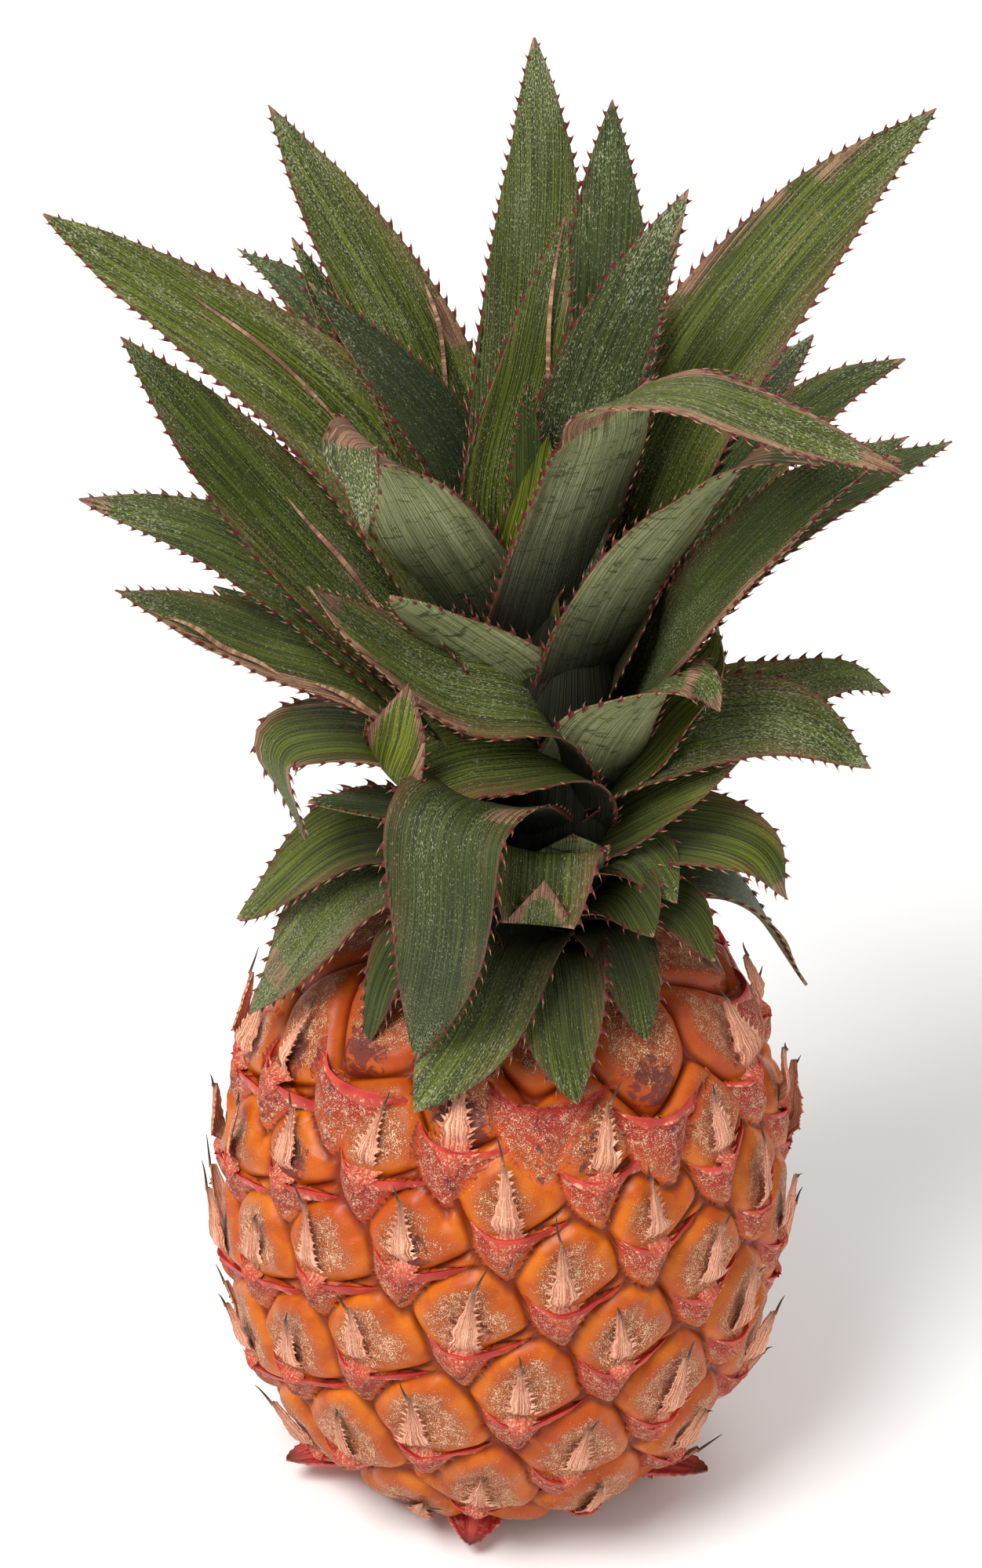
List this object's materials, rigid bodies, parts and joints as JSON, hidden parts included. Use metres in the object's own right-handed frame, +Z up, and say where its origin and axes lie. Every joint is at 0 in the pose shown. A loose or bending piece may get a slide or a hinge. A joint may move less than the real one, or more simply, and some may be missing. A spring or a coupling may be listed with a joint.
{
  "type": "pineapple",
  "caption": "Small fresh pineapple with a spiral of eyes, papery toothed bracts and a crown of stiff spiny leaves, standing on its cut base.",
  "frame": {"origin": "middle of the flat cut base, on the fruit's own axis", "axes": "+Z up the fruit towards the crown; +X to the right and -Y towards the viewer when the arched front leaves face the viewer"},
  "size_m": [0.1285, 0.0998, 0.2183],
  "materials": {
    "fruit": "waxy orange skin with pink papery bracts",
    "leaf": "matt green with a pale powdery bloom",
    "heart": "matt grey-green"
  },
  "bodies": {
    "root": {"crown_heart": "heart", "fruit": "fruit", "leaf_arching_right": "leaf", "leaf_back_rising_1": "leaf", "leaf_back_rising_2": "leaf", "leaf_back_rising_3": "leaf", "leaf_back_rising_4": "leaf", "leaf_back_shoulder_1": "leaf", "leaf_back_shoulder_2": "leaf", "leaf_back_shoulder_3": "leaf", "leaf_back_shoulder_4": "leaf", "leaf_back_shoulder_5": "leaf", "leaf_back_shoulder_6": "leaf", "leaf_back_spread_1": "leaf", "leaf_back_spread_2": "leaf", "leaf_back_spread_3": "leaf", "leaf_back_spread_4": "leaf", "leaf_back_spread_5": "leaf", "leaf_behind_left": "leaf", "leaf_behind_right": "leaf", "leaf_brown_tip": "leaf", "leaf_curled_left": "leaf", "leaf_dark_left": "leaf", "leaf_dark_low": "leaf", "leaf_far_left": "leaf", "leaf_far_right": "leaf", "leaf_folded_left": "leaf", "leaf_front_big": "leaf", "leaf_front_low": "leaf", "leaf_front_right": "leaf", "leaf_front_small": "leaf", "leaf_front_tall": "leaf", "leaf_front_tucked": "leaf", "leaf_green_right": "leaf", "leaf_hanging_tip": "leaf", "leaf_heart_right": "leaf", "leaf_low_right": "leaf", "leaf_olive": "leaf", "leaf_pale_left": "leaf", "leaf_pale_right": "leaf", "leaf_recurved": "leaf", "leaf_right_arch": "leaf", "leaf_right_curl": "leaf", "leaf_right_low": "leaf", "leaf_right_short": "leaf", "leaf_rolled_right": "leaf", "leaf_shoulder_left": "leaf", "leaf_small_dark": "leaf", "leaf_split_left": "leaf", "leaf_tall_back": "leaf", "leaf_tall_left": "leaf", "leaf_tall_right": "leaf", "leaf_tallest": "leaf", "leaf_tip_up": "leaf", "leaf_torn": "leaf", "leaf_torn_back": "leaf", "leaf_under_recurved": "leaf", "leaf_wide_left": "leaf", "leaf_wide_right": "leaf"}
  },
  "joints": []
}
